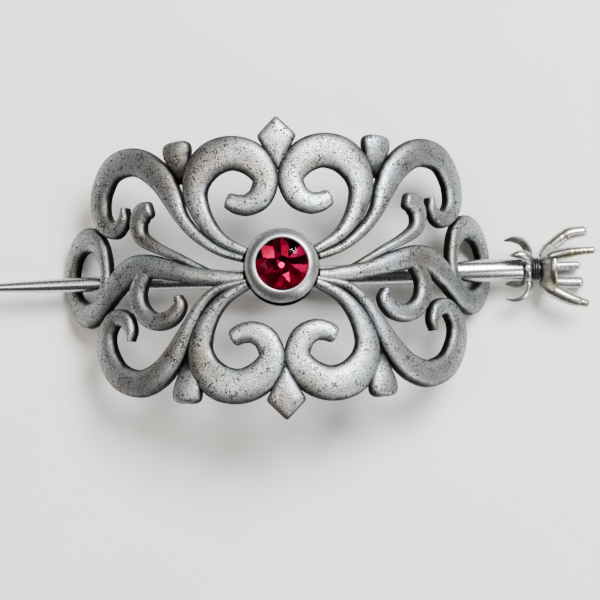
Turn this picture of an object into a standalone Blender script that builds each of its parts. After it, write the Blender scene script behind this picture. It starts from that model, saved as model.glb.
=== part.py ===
"""Openwork hair slide with a claw-headed stick.

A scroll plate, cast flat in one piece and bent into a dome, carries a turned bezel with a round
glass stone.  A tapered stick runs under the dome and through a loop at each end of the plate.
+X points to the stick's head, +Y across the plate and +Z out of the dome.  The slide lies on the
two flats at the ends of its loops, at z = 0, and the origin is under the middle of its length.
"""

import math

import bmesh
import bpy
from mathutils import Matrix, Vector

# Driving dimensions, metres

GAP = 0.0003                   # clearance between pieces that touch

SCROLL_UNIT = 0.001            # one unit of the scroll drawing: raises the plate as a whole
PLATE_THICKNESS = 0.0020       # back to crown of a scroll
BEND_RADIUS = 0.046            # crown of the bent plate
REST_CUT = 0.0004              # metal taken off the loop ends so that the slide lies steadily

LOOP_MIDDLE_X = 41.3           # drawing units, centre line of the plate to the middle of a loop's hole
LOOP_MIDDLE_Y = 1.2
LOOP_HOLE_HALF_WIDTH = 0.0047  # across the plate
LOOP_INNER_RIM = 0.0024
LOOP_OUTER_RIM = 0.0036
LOOP_SIDE_RIM = 0.0046

SEAT_FLOOR = 0.0010            # metal left under the bezel's seat, at the crest
STONE_RADIUS = 0.00495
STONE_TABLE_RADIUS = 0.0029
STONE_BACK_RADIUS = 0.0022
STONE_CROWN = 0.0012
STONE_GIRDLE = 0.0003
STONE_PAVILION = 0.0012
BEZEL_WALL = 0.00135
BEZEL_FLOOR = 0.0006
BEZEL_LIP_OVERLAP = 0.00035    # lip over the girdle
BEZEL_LIP = 0.0004
BEZEL_CROWN = 0.0002           # rounding of the bezel above its lip
BEZEL_SHOULDER_INSET = 0.0009  # outer edge in to where that rounding starts
BEZEL_EDGE_DROP = 0.0012       # lip down to the upright outer side
ADHESIVE_BED = 0.0003

STICK_RADIUS = 0.0021
STICK_TIP_RADIUS = 0.0002
STICK_LENGTH = 0.1121          # tip to the shoulder under the head
STICK_POINT = 0.0260           # sharply tapered end
STICK_TAPER = 0.0620           # gently tapered stretch behind it
STICK_TAPER_SHARE = 0.60       # radius at the end of the point, of the full radius
STICK_CLEARANCE = 0.0005       # stick to loop, all round
STICK_EDGE = 0.0003            # rounding of the shoulder's edge
HEAD_STANDOFF = 0.0047         # shoulder to the face of the plate's right-hand loop

TANG_RADIUS = 0.0010
TANG_EDGE = 0.0002
CUFF_RADIUS = 0.0027
CUFF_LENGTH = 0.0013
CUFF_EDGE = 0.0003
TALON_REACH = 0.0055           # axis to a talon's tip
TALON_LENGTH = 0.0041          # back from the cuff towards the plate
TALON_RADIUS = 0.00085
NECK_RADIUS = 0.0021
NECK_LENGTH = 0.0013
NECK_RIBS = 3
RIB_DEPTH = 0.0002
CROWN_CUP_RADIUS = 0.0047
CROWN_CUP_LENGTH = 0.0025
CROWN_FLOOR = 0.0014           # face to the bottom of the bowl
CROWN_WEB = 0.0005             # metal between the tang's blind hole and the bowl
CROWN_RIM = 0.0007             # wall at the bowl's rim
CLAW_RADIUS = 0.0010
CLAW_ROOT = 0.0008             # how far inside the rim a claw starts
ROUND_SIDES = 24

# The scroll drawing: right-hand half, flat, in drawing units from the middle of the bezel.
# Each band is a list of stations: distance out, distance up, half-width.

INNER_SCROLL = [
    (3.0, 1.2, 0.9), (6.4, 2.9, 0.9), (10.6, 5.2, 1.15), (13.3, 8.1, 1.55), (14.95, 11.3, 1.95),
    (15.6, 14.4, 2.4), (14.7, 17.6, 3.0), (12.1, 20.1, 3.25), (8.3, 20.9, 3.15), (4.6, 19.5, 3.05),
    (2.35, 16.2, 2.5), (3.3, 12.9, 2.3), (5.6, 11.45, 2.0), (7.6, 11.55, 1.8), (8.9, 12.1, 1.6),
]
UPPER_OUTER_SCROLL = [
    (3.0, 0.8, 0.8), (6.5, 1.6, 0.65), (11.4, 3.4, 0.85), (15.6, 6.5, 1.1), (18.5, 10.0, 1.35),
    (20.4, 14.0, 2.1), (22.5, 17.4, 2.5), (26.0, 20.2, 2.6), (29.8, 21.2, 2.6), (34.1, 20.1, 2.55),
    (36.9, 16.3, 2.5), (37.1, 12.3, 2.2), (35.2, 9.7, 1.7), (32.9, 9.15, 1.6), (31.1, 10.6, 1.2),
    (30.7, 12.6, 0.65),
]
LOWER_OUTER_SCROLL = [
    (3.0, -1.4, 0.8), (6.5, -2.3, 0.65), (11.8, -3.5, 0.85), (15.0, -6.0, 1.05), (17.2, -9.0, 1.3),
    (19.2, -12.3, 1.75), (21.3, -15.4, 2.2), (24.3, -18.1, 2.45), (28.7, -19.3, 2.5),
    (33.6, -17.5, 2.45), (36.5, -13.4, 2.45), (36.5, -9.7, 2.15), (34.1, -7.1, 1.65),
    (31.4, -7.5, 1.55), (30.1, -9.5, 1.15), (30.2, -11.2, 0.6),
]
WING = [
    (3.0, -0.4, 1.3), (7.0, -1.6, 1.15), (12.0, -1.4, 1.5), (17.0, -0.5, 1.6), (22.0, 0.9, 1.95),
    (26.3, 1.8, 2.2), (29.7, 1.4, 2.4), (32.9, -0.5, 2.4), (35.9, -3.0, 2.15), (38.7, -5.2, 2.1),
    (41.6, -6.1, 2.1),
]
TENDRIL = [
    (14.2, 0.5, 0.5), (19.3, 2.8, 0.75), (23.8, 4.9, 1.0), (27.0, 7.0, 1.4), (27.7, 9.7, 1.8),
    (26.7, 11.5, 1.95), (25.4, 12.0, 1.6),
]
HOOK = [
    (26.4, 0.6, 1.4), (28.2, -2.4, 1.75), (28.0, -5.2, 1.75), (26.3, -7.5, 1.7), (23.8, -8.45, 1.65),
    (21.0, -7.8, 1.6), (19.35, -6.0, 1.3), (19.6, -4.4, 0.75),
]
UPPER_LEAF = [(18.4, 16.4, 0.5), (18.6, 19.8, 1.9), (18.9, 21.8, 2.75), (19.0, 22.9, 2.85)]
LOWER_LEAF = [(17.9, -14.6, 0.5), (18.2, -18.4, 1.9), (18.4, -21.0, 2.75), (18.5, -22.3, 2.85)]
DIAMOND_TOP = 27.4
DIAMOND_MIDDLE = 23.7
DIAMOND_FOOT = 17.2
DIAMOND_HALF_WIDTH = 3.7

STEPS_PER_STATION = 2
BLUNT_END = ((0.34, 0.90), (0.52, 0.62))    # past the last station, and width left, in half-widths
SHOULDER_HEIGHT = 0.5          # of the thickness, where a band's side turns into its crown
SECTION = ((-1.0, 0.0), (1.0, 0.0), (1.0, SHOULDER_HEIGHT), (0.62, 0.88), (0.0, 1.0),
           (-0.62, 0.88), (-1.0, SHOULDER_HEIGHT))
BEND_STEP = 0.0055            # spacing of the cuts that let the plate bend smoothly

OBJECT_NAME = "hair_slide"
MATERIALS = {
    "openwork_plate": ((0.52, 0.52, 0.50), 1.0, 0.42),
    "bezel_cup": ((0.58, 0.58, 0.56), 1.0, 0.35),
    "rhinestone": ((0.45, 0.01, 0.06), 0.0, 0.05),
    "stone_adhesive": ((0.75, 0.72, 0.62), 0.0, 0.5),
    "stick_shaft": ((0.60, 0.60, 0.58), 1.0, 0.22),
    "talon_cuff": ((0.55, 0.55, 0.53), 1.0, 0.33),
    "ribbed_neck": ((0.20, 0.20, 0.20), 1.0, 0.45),
    "claw_crown": ((0.55, 0.55, 0.53), 1.0, 0.33),
}


# Scene and object helpers

def empty_scene():
    for old in list(bpy.data.objects):
        bpy.data.objects.remove(old, do_unlink=True)
    made = []
    for name in (OBJECT_NAME, "cutters"):
        collection = bpy.data.collections.new(name)
        bpy.context.scene.collection.children.link(collection)
        made.append(collection)
    return made


PARTS, CUTTERS = empty_scene()


def add_object(name, mesh, collection):
    item = bpy.data.objects.new(name, mesh)
    collection.objects.link(item)
    if collection is CUTTERS:
        item.hide_render = True
        item.display_type = "WIRE"
    return item


def object_from_bmesh(name, bm, collection):
    bmesh.ops.recalc_face_normals(bm, faces=bm.faces)
    mesh = bpy.data.meshes.new(name)
    bm.to_mesh(mesh)
    bm.free()
    return add_object(name, mesh, collection)


def as_plain_mesh(item):
    """Apply the modifiers of an object, or turn a curve into a closed mesh, in place."""
    name = item.name
    collection = item.users_collection[0]
    bpy.context.view_layer.update()
    evaluated = item.evaluated_get(bpy.context.evaluated_depsgraph_get())
    mesh = bpy.data.meshes.new_from_object(evaluated)
    matrix = item.matrix_world.copy()
    bpy.data.objects.remove(item, do_unlink=True)
    bm = bmesh.new()
    bm.from_mesh(mesh)
    bmesh.ops.remove_doubles(bm, verts=bm.verts, dist=0.000001)
    bm.to_mesh(mesh)
    bm.free()
    result = add_object(name, mesh, collection)
    result.matrix_world = matrix
    return result


def boolean(target, tool, operation):
    modifier = target.modifiers.new(operation.lower(), "BOOLEAN")
    modifier.operation = operation
    modifier.solver = "EXACT"
    modifier.object = tool


def union_of(name, pieces, collection):
    """Join overlapping closed objects into one body, as a new object."""
    body = pieces[0]
    for other in pieces[1:]:
        boolean(body, other, "UNION")
        bpy.context.view_layer.update()
        body = as_plain_mesh(body)
        bpy.data.objects.remove(other, do_unlink=True)
    mesh = body.data
    matrix = body.matrix_world.copy()
    bpy.data.objects.remove(body, do_unlink=True)
    joined = add_object(name, mesh, collection)
    joined.matrix_world = matrix
    return joined


def finish(item, angle=35):
    color, metallic, roughness = MATERIALS[item.name]
    material = bpy.data.materials.new(item.name)
    material.use_nodes = True
    shader = material.node_tree.nodes["Principled BSDF"]
    shader.inputs["Base Color"].default_value = (*color, 1.0)
    shader.inputs["Metallic"].default_value = metallic
    shader.inputs["Roughness"].default_value = roughness
    item.data.materials.clear()
    item.data.materials.append(material)
    item.data.shade_smooth()
    item.data.set_sharp_from_angle(angle=math.radians(angle))


def turned(name, profile, place, collection, sides=ROUND_SIDES, closed=False):
    """A turned piece: profile of (height, radius), top to bottom down its outer side."""
    mesh = bpy.data.meshes.new(name)
    points = [(radius, 0.0, height) for height, radius in profile]
    edges = [(i, i + 1) for i in range(len(points) - 1)]
    if closed:
        edges.append((len(points) - 1, 0))
    mesh.from_pydata(points, edges, [])
    item = add_object(name, mesh, collection)
    screw = item.modifiers.new("turn", "SCREW")
    screw.axis = "Z"
    screw.steps = sides
    screw.render_steps = sides
    screw.use_merge_vertices = True
    screw.merge_threshold = 0.00001
    item = as_plain_mesh(item)
    item.matrix_world = place
    return item


def horn(name, path, radii, collection):
    """A tapered bar along a smooth path, with filled ends."""
    curve = bpy.data.curves.new(name, "CURVE")
    curve.dimensions = "3D"
    curve.bevel_depth = 1.0
    curve.bevel_resolution = 1
    curve.resolution_u = 3
    curve.use_fill_caps = True
    spline = curve.splines.new("BEZIER")
    spline.bezier_points.add(len(path) - 1)
    for point, place, radius in zip(spline.bezier_points, path, radii):
        point.co = place
        point.radius = radius
        point.handle_left_type = "AUTO"
        point.handle_right_type = "AUTO"
    item = bpy.data.objects.new(name, curve)
    collection.objects.link(item)
    return as_plain_mesh(item)


# The plate

def smooth_stations(stations, steps):
    """Catmull-Rom points through the stations, each with its half-width."""
    rows = [Vector(s) for s in stations]
    rows = [rows[0] * 2 - rows[1]] + rows + [rows[-1] * 2 - rows[-2]]
    out = []
    for a, b, c, d in zip(rows, rows[1:], rows[2:], rows[3:]):
        for k in range(steps):
            t = k / steps
            out.append(0.5 * (2 * b + (c - a) * t + (2 * a - 5 * b + 4 * c - d) * t * t
                              + (3 * b - a - 3 * c + d) * t ** 3))
    out.append(rows[-2])
    return out


def blunt_end(rows):
    """Two more stations past the last one, so that the band ends bluntly with rounded corners."""
    last = rows[-1]
    along = (rows[-1] - rows[-2]).xy.normalized()
    extra = []
    for reach, width in BLUNT_END:
        place = last.xy + along * last.z * reach
        extra.append(Vector((place.x, place.y, last.z * width)))
    return rows + extra


def loft(name, rows, closed=False):
    """A band with a flat back and a crowned face, lofted through its stations."""
    bm = bmesh.new()
    rings = []
    count = len(rows)
    for i, row in enumerate(rows):
        before = rows[(i - 1) % count] if closed or i else row
        after = rows[(i + 1) % count] if closed or i < count - 1 else row
        along = (after - before).xy.normalized()
        side = Vector((along.y, -along.x))
        ring = []
        for across, height in SECTION:
            point = row.xy + side * row.z * across
            ring.append(bm.verts.new((point.x * SCROLL_UNIT, point.y * SCROLL_UNIT,
                                      height * PLATE_THICKNESS)))
        rings.append(ring)
    pairs = list(zip(rings, rings[1:]))
    if closed:
        pairs.append((rings[-1], rings[0]))
    size = len(SECTION)
    for near, far in pairs:
        for k in range(size):
            n = (k + 1) % size
            bm.faces.new((near[k], near[n], far[n], far[k]))
    if not closed:
        bm.faces.new(rings[0])
        bm.faces.new(rings[-1])
    return object_from_bmesh(name, bm, CUTTERS)


def band(name, stations):
    return loft(name, blunt_end(smooth_stations(stations, STEPS_PER_STATION)))


def mirrored(stations):
    return [(x, -y, w) for x, y, w in stations]


def diamond(name, direction):
    """A kite with a raised middle, nested between two scrolls."""
    bm = bmesh.new()
    outline = [(0, DIAMOND_TOP), (DIAMOND_HALF_WIDTH, DIAMOND_MIDDLE), (0, DIAMOND_FOOT),
               (-DIAMOND_HALF_WIDTH, DIAMOND_MIDDLE)]
    middle = Vector((0, DIAMOND_MIDDLE * 0.45 + (DIAMOND_TOP + DIAMOND_FOOT) * 0.275))
    levels = ((1.0, 0.0), (1.0, SHOULDER_HEIGHT), (0.6, 0.9), (0.2, 1.0))
    rings = []
    for share, height in levels:
        ring = []
        for x, y in outline:
            point = middle + (Vector((x, y)) - middle) * share
            ring.append(bm.verts.new((point.x * SCROLL_UNIT, point.y * SCROLL_UNIT * direction,
                                      height * PLATE_THICKNESS)))
        rings.append(ring)
    for near, far in zip(rings, rings[1:]):
        for k in range(4):
            n = (k + 1) % 4
            bm.faces.new((near[k], near[n], far[n], far[k]))
    bm.faces.new(rings[0])
    bm.faces.new(rings[-1])
    return object_from_bmesh(name, bm, CUTTERS)


LOOP_MIDDLE = LOOP_MIDDLE_X * SCROLL_UNIT
BACK_RADIUS = BEND_RADIUS - PLATE_THICKNESS


def channel_height(half_length):
    """Clear height for the stick between a loop's inner and outer rim."""
    inner = BACK_RADIUS * math.cos((LOOP_MIDDLE - half_length) / BEND_RADIUS)
    outer = BEND_RADIUS * math.cos((LOOP_MIDDLE + half_length) / BEND_RADIUS)
    return inner - outer


def loop_hole_half_length():
    """Half the length of a loop's hole, long enough for the stick to pass level through it."""
    low, high = 0.0, 0.5 * LOOP_MIDDLE
    for _ in range(50):
        middle = 0.5 * (low + high)
        if channel_height(middle) < 2 * (STICK_RADIUS + STICK_CLEARANCE):
            low = middle
        else:
            high = middle
    return high


LOOP_HOLE_HALF_LENGTH = loop_hole_half_length()
RIM_FLAT = LOOP_MIDDLE + LOOP_HOLE_HALF_LENGTH + LOOP_OUTER_RIM
BEND_CENTRE_Z = -BACK_RADIUS * math.cos(RIM_FLAT / BEND_RADIUS) - REST_CUT
STICK_Z = BEND_CENTRE_Z + BEND_RADIUS * math.cos((LOOP_MIDDLE + LOOP_HOLE_HALF_LENGTH) / BEND_RADIUS) \
    + STICK_RADIUS + STICK_CLEARANCE
RIM_X = BEND_RADIUS * math.sin(RIM_FLAT / BEND_RADIUS)
SEAT_Z = BEND_CENTRE_Z + BACK_RADIUS + SEAT_FLOOR
BEZEL_RADIUS = STONE_RADIUS + GAP + BEZEL_WALL

SHOULDER_X = RIM_X + HEAD_STANDOFF
TIP_X = SHOULDER_X - STICK_LENGTH
CUFF_X = SHOULDER_X + GAP
NECK_X = CUFF_X + CUFF_LENGTH + GAP
CROWN_X = NECK_X + NECK_LENGTH + GAP


def end_loop(name):
    """The ring that the stick passes through, longer across the plate than along it."""
    rows = []
    turns = 24
    for k in range(turns):
        angle = 2 * math.pi * k / turns
        c, s = math.cos(angle), math.sin(angle)
        rim = LOOP_OUTER_RIM if c > 0 else LOOP_INNER_RIM
        width = 0.5 * (rim * c * c + LOOP_SIDE_RIM * s * s)
        x = LOOP_MIDDLE + c * (LOOP_HOLE_HALF_LENGTH + 0.5 * rim)
        y = LOOP_MIDDLE_Y * SCROLL_UNIT + s * (LOOP_HOLE_HALF_WIDTH + 0.5 * LOOP_SIDE_RIM)
        rows.append(Vector((x, y, width)) / SCROLL_UNIT)
    return loft(name, rows, closed=True)


def bend(item):
    """Cut the flat plate into narrow strips and wrap it round the bending cylinder."""
    bm = bmesh.new()
    bm.from_mesh(item.data)
    cuts = int(RIM_FLAT / BEND_STEP)
    for k in range(-cuts, cuts + 1):
        geometry = bm.verts[:] + bm.edges[:] + bm.faces[:]
        bmesh.ops.bisect_plane(bm, geom=geometry, dist=0.00002, plane_co=(k * BEND_STEP, 0, 0),
                               plane_no=(1, 0, 0))
    for vertex in bm.verts:
        angle = vertex.co.x / BEND_RADIUS
        radius = BACK_RADIUS + vertex.co.z
        vertex.co.x = radius * math.sin(angle)
        vertex.co.z = radius * math.cos(angle) + BEND_CENTRE_Z
    bm.to_mesh(item.data)
    bm.free()


def make_plate():
    members = [
        band("inner_scroll_upper", INNER_SCROLL),
        band("inner_scroll_lower", mirrored(INNER_SCROLL)),
        band("outer_scroll_upper", UPPER_OUTER_SCROLL),
        band("outer_scroll_lower", LOWER_OUTER_SCROLL),
        band("wing", WING),
        end_loop("end_loop"),
        band("tendril", TENDRIL),
        band("hook", HOOK),
        band("leaf_upper", UPPER_LEAF),
        band("leaf_lower", LOWER_LEAF),
        diamond("diamond_upper", 1),
        diamond("diamond_lower", -1),
    ]
    hub_profile = [(PLATE_THICKNESS, 0), (PLATE_THICKNESS, BEZEL_RADIUS + 2 * GAP),
                   (0, BEZEL_RADIUS + 2 * GAP), (0, 0)]
    members.append(turned("hub", hub_profile, Matrix.Identity(4), CUTTERS, sides=32))
    plate = union_of("openwork_plate", members, PARTS)
    mirror = plate.modifiers.new("left_half", "MIRROR")
    mirror.use_axis[0] = True
    mirror.use_bisect_axis[0] = True
    mirror.use_bisect_flip_axis[0] = False
    mirror.bisect_threshold = 0.00001
    mirror.merge_threshold = 0.00001
    plate = as_plain_mesh(plate)
    bend(plate)
    seat_profile = [(SEAT_Z + 0.02, 0), (SEAT_Z + 0.02, BEZEL_RADIUS + GAP),
                    (SEAT_Z, BEZEL_RADIUS + GAP), (SEAT_Z, 0)]
    seat = turned("bezel_seat_cutter", seat_profile, Matrix.Identity(4), CUTTERS, sides=48)
    boolean(plate, seat, "DIFFERENCE")
    bm = bmesh.new()
    bmesh.ops.create_cube(bm, size=1.0, matrix=Matrix.Translation((0, 0, -0.01))
                          @ Matrix.Diagonal((0.2, 0.1, 0.02, 1)))
    floor = object_from_bmesh("rest_cutter", bm, CUTTERS)
    boolean(plate, floor, "DIFFERENCE")
    plate = as_plain_mesh(plate)
    finish(plate)


# The stone and its setting

def make_setting():
    middle = Matrix.Translation((0, 0, SEAT_Z + GAP))
    cavity = STONE_RADIUS + GAP
    bed = BEZEL_FLOOR + GAP
    bed_top = bed + ADHESIVE_BED
    back = bed_top + GAP
    girdle = back + STONE_PAVILION
    crown = girdle + STONE_GIRDLE
    lip = crown + GAP
    top = lip + BEZEL_LIP
    lip_radius = STONE_RADIUS - BEZEL_LIP_OVERLAP
    bezel = [
        (BEZEL_FLOOR, 0), (BEZEL_FLOOR, cavity), (lip, cavity), (top, lip_radius),
        (top + BEZEL_CROWN, lip_radius + 1.5 * BEZEL_CROWN),
        (top + BEZEL_CROWN, BEZEL_RADIUS - BEZEL_SHOULDER_INSET),
        (lip - BEZEL_CROWN, BEZEL_RADIUS - 0.5 * BEZEL_CROWN),
        (lip - BEZEL_EDGE_DROP, BEZEL_RADIUS), (0, BEZEL_RADIUS), (0, 0),
    ]
    finish(turned("bezel_cup", bezel, middle, PARTS, sides=40))
    stone = [(crown + STONE_CROWN, 0), (crown + STONE_CROWN, STONE_TABLE_RADIUS),
             (crown, STONE_RADIUS), (girdle, STONE_RADIUS), (back, STONE_BACK_RADIUS), (back, 0)]
    finish(turned("rhinestone", stone, middle, PARTS, sides=16), angle=5)
    # the adhesive's inner wall runs beside the stone's cone and stops where it is still thick
    cone = (STONE_RADIUS - STONE_BACK_RADIUS) / STONE_PAVILION
    wall_height = 0.5 * STONE_PAVILION
    adhesive = [
        (bed_top, 0), (bed_top, STONE_BACK_RADIUS + GAP),
        (bed_top + wall_height, STONE_BACK_RADIUS + GAP + cone * wall_height),
        (bed_top + wall_height, STONE_RADIUS - GAP), (bed, STONE_RADIUS - GAP), (bed, 0),
    ]
    finish(turned("stone_adhesive", adhesive, middle, PARTS, sides=32))


# The stick and its head

def along_x(x):
    """Places a turned piece on the stick's axis with its height running towards the head."""
    return Matrix.Translation((x, 0, STICK_Z)) @ Matrix.Rotation(math.pi / 2, 4, "Y")


def make_stick():
    tang = CROWN_X + CROWN_FLOOR - CROWN_WEB - GAP - TIP_X
    point_radius = STICK_RADIUS * STICK_TAPER_SHARE
    profile = [
        (tang, 0), (tang, TANG_RADIUS - TANG_EDGE), (tang - TANG_EDGE, TANG_RADIUS),
        (STICK_LENGTH, TANG_RADIUS), (STICK_LENGTH, STICK_RADIUS - STICK_EDGE),
        (STICK_LENGTH - STICK_EDGE, STICK_RADIUS),
        (STICK_POINT + STICK_TAPER, STICK_RADIUS),
        (STICK_POINT + 0.5 * STICK_TAPER, 0.52 * STICK_RADIUS + 0.5 * point_radius),
        (STICK_POINT, point_radius),
        (0.5 * STICK_POINT, 0.58 * point_radius),
        (5 * STICK_TIP_RADIUS, 1.8 * STICK_TIP_RADIUS),
        (1.5 * STICK_TIP_RADIUS, STICK_TIP_RADIUS),
        (0, 0),
    ]
    finish(turned("stick_shaft", profile, along_x(TIP_X), PARTS))


def spoke(x, reach, angle):
    """A point at a distance from the stick's axis: angle 0 is +Y, 90 is +Z."""
    turn = math.radians(angle)
    return (x, reach * math.cos(turn), STICK_Z + reach * math.sin(turn))


def make_cuff():
    hole = TANG_RADIUS + GAP
    profile = [(CUFF_LENGTH, hole), (CUFF_LENGTH, CUFF_RADIUS - CUFF_EDGE),
               (0.5 * CUFF_LENGTH, CUFF_RADIUS), (0, CUFF_RADIUS - CUFF_EDGE), (0, hole)]
    pieces = [turned("cuff_ring", profile, along_x(CUFF_X), CUTTERS, closed=True)]
    root = CUFF_X + 0.5 * CUFF_LENGTH
    # shares of a talon's length back from the cuff, and of its reach out from the axis
    shape = ((0.0, 0.40), (0.02, 0.62), (0.30, 0.88), (0.68, 1.0), (1.0, 1.0))
    for angle, share in ((8, 1.0), (62, 0.86), (188, 1.0), (242, 0.86)):
        path = [spoke(root - back * share * TALON_LENGTH, out * share * TALON_REACH, angle)
                for back, out in shape]
        radii = [TALON_RADIUS * k for k in (0.7, 1.0, 1.0, 0.75, 0.31)]
        pieces.append(horn("talon", path, radii, CUTTERS))
    finish(union_of("talon_cuff", pieces, PARTS), angle=50)


def make_neck():
    hole = TANG_RADIUS + GAP
    rib = NECK_LENGTH / NECK_RIBS
    profile = [(NECK_LENGTH, hole)]
    for k in range(NECK_RIBS):
        top = NECK_LENGTH - k * rib
        profile += [(top, NECK_RADIUS - RIB_DEPTH), (top - 0.5 * rib, NECK_RADIUS)]
    profile += [(0, NECK_RADIUS - RIB_DEPTH), (0, hole)]
    finish(turned("ribbed_neck", profile, along_x(NECK_X), PARTS, closed=True))


def make_crown():
    hole = TANG_RADIUS + GAP
    hole_end = CROWN_FLOOR - CROWN_WEB
    rim = CROWN_CUP_LENGTH
    radius = CROWN_CUP_RADIUS
    bowl = rim - CROWN_FLOOR
    profile = [
        (CROWN_FLOOR, 0), (CROWN_FLOOR + 0.1 * bowl, 0.40 * radius),
        (CROWN_FLOOR + 0.5 * bowl, 0.66 * radius), (rim, radius - CROWN_RIM),
        (rim - 0.5 * CROWN_RIM, radius), (0.6 * rim, 0.94 * radius), (0.35 * rim, 0.81 * radius),
        (0.1 * rim, 0.62 * radius), (0, 0.45 * radius), (0, hole), (hole_end, hole), (hole_end, 0),
    ]
    pieces = [turned("cup", profile, along_x(CROWN_X), CUTTERS)]
    # angle round the axis, how far the tip stands from it, length from the crown's face
    claws = ((5, 0.0066, 0.0088), (62, 0.0055, 0.0098), (180, 0.0070, 0.0088),
             (234, 0.0052, 0.0086), (270, 0.0046, 0.0082))
    root_x = CROWN_X + rim - CLAW_ROOT
    root_reach = radius - CLAW_ROOT
    for angle, reach, length in claws:
        end_x = CROWN_X + length
        path = [spoke(root_x + t * (end_x - root_x),
                      root_reach + (reach - root_reach) * math.sin(0.5 * math.pi * t), angle)
                for t in (0.0, 0.33, 0.66, 0.9, 1.0)]
        radii = [CLAW_RADIUS * k for k in (0.85, 0.95, 0.95, 0.8, 0.5)]
        pieces.append(horn("claw", path, radii, CUTTERS))
    finish(union_of("claw_crown", pieces, PARTS), angle=50)


def centre_lengthwise():
    """Put the origin under the middle of the whole length, from the stick's tip to its claws."""
    bpy.context.view_layer.update()
    ends = [(item.matrix_world @ vertex.co).x for item in PARTS.objects for vertex in item.data.vertices]
    middle = 0.5 * (min(ends) + max(ends))
    for item in PARTS.objects:
        item.location.x -= middle


make_plate()
make_setting()
make_stick()
make_cuff()
make_neck()
make_crown()
centre_lengthwise()
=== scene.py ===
import math
import bmesh
import bpy
from mathutils import Matrix, Vector


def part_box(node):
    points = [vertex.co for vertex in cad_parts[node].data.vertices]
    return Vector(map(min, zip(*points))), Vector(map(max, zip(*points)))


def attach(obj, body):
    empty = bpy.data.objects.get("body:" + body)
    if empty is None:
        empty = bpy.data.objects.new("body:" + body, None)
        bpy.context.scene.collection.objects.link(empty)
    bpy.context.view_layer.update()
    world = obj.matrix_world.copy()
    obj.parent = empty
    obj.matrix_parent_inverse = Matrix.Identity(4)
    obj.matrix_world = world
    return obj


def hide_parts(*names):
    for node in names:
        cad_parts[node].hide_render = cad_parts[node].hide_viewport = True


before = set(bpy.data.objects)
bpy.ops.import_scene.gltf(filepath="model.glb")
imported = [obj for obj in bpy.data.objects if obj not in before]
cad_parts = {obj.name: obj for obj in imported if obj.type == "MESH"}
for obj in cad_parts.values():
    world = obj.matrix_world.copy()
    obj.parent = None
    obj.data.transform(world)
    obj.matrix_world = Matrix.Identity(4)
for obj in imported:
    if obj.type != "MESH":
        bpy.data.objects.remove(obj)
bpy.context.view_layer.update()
print("frame loaded:", len(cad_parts), "CAD nodes")

mm = 0.001
plateLow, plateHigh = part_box("openwork_plate")
bezelLow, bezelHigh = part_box("bezel_cup")
stoneLow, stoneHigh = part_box("rhinestone")
stickLow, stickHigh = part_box("stick_shaft")
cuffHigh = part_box("talon_cuff")[1]
neckLow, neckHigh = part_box("ribbed_neck")
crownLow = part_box("claw_crown")[0]
middleX = 0.5 * (plateLow.x + plateHigh.x)  # the plate's own centre line
stickZ = 0.5 * (stickLow.z + stickHigh.z)   # the stick's axis
bezelRadius = 0.5 * (bezelHigh.x - bezelLow.x) / mm


def shade(mesh, smoothAngle):
    mesh.shade_smooth()
    mesh.set_sharp_from_angle(angle=math.radians(smoothAngle))


def newMeshObject(name, bm, smoothAngle=35):
    mesh = bpy.data.meshes.new(name)
    bm.to_mesh(mesh)
    bm.free()
    shade(mesh, smoothAngle)
    piece = bpy.data.objects.new(name, mesh)
    bpy.context.scene.collection.objects.link(piece)
    return piece


def skin(rings, closed=False):
    # rings of points, joined one to the next and capped at the ends
    bm = bmesh.new()
    loops = []
    for ring in rings:
        corners = [bm.verts.new(point) for point in ring]
        loops.append([bm.edges.new(pair) for pair in zip(corners, corners[1:] + corners[:1])])
    pairs = list(zip(loops, loops[1:]))
    if closed:
        pairs.append((loops[-1], loops[0]))
    for near, far in pairs:
        bmesh.ops.bridge_loops(bm, edges=near + far)
    if not closed:
        bmesh.ops.holes_fill(bm, edges=[e for e in bm.edges if e.is_boundary], sides=0)
    bmesh.ops.recalc_face_normals(bm, faces=bm.faces)
    return bm


def turn(profile, steps, axis="Z", centre=(0, 0, 0)):
    # profile: (radius, height) in mm; spun round Z, or laid along X for what sits on the stick
    bm = bmesh.new()
    corners = [bm.verts.new((radius * mm, 0, height * mm)) for radius, height in profile]
    edges = [bm.edges.new(pair) for pair in zip(corners, corners[1:])]
    if profile[0][0] > 0:
        edges.append(bm.edges.new((corners[-1], corners[0])))
    bmesh.ops.spin(bm, geom=corners + edges, cent=(0, 0, 0), axis=(0, 0, 1), angle=2 * math.pi,
                   steps=steps, use_merge=True)
    bmesh.ops.remove_doubles(bm, verts=bm.verts, dist=1e-7)
    bmesh.ops.recalc_face_normals(bm, faces=bm.faces)
    if axis == "X":
        bmesh.ops.rotate(bm, verts=bm.verts, matrix=Matrix.Rotation(math.pi / 2, 3, "Y"))
    bmesh.ops.translate(bm, verts=bm.verts, vec=centre)
    return bm


def combine(body, other, operation):
    # one closed solid with another: their UNION, or the first less the second, their DIFFERENCE
    step = body.modifiers.new("combine", "BOOLEAN")
    step.operation = operation
    step.solver = "MANIFOLD"
    step.object = other
    bpy.context.view_layer.update()
    evaluated = body.evaluated_get(bpy.context.evaluated_depsgraph_get())
    old, mesh = body.data, bpy.data.meshes.new_from_object(evaluated)
    body.modifiers.clear()
    body.data = mesh
    bpy.data.meshes.remove(old)
    bpy.data.objects.remove(other, do_unlink=True)


def join(name, solids, smoothAngle=35):
    # closed solids made one piece
    body, *others = [newMeshObject(f"{name}Part", bm) for bm in solids]
    for other in others:
        combine(body, other, "UNION")
    body.name = name
    body.data.name = name
    body.data.materials.clear()
    shade(body.data, smoothAngle)
    return body


def clamp(value, least=0.0):
    return min(1.0, max(least, value))


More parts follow.
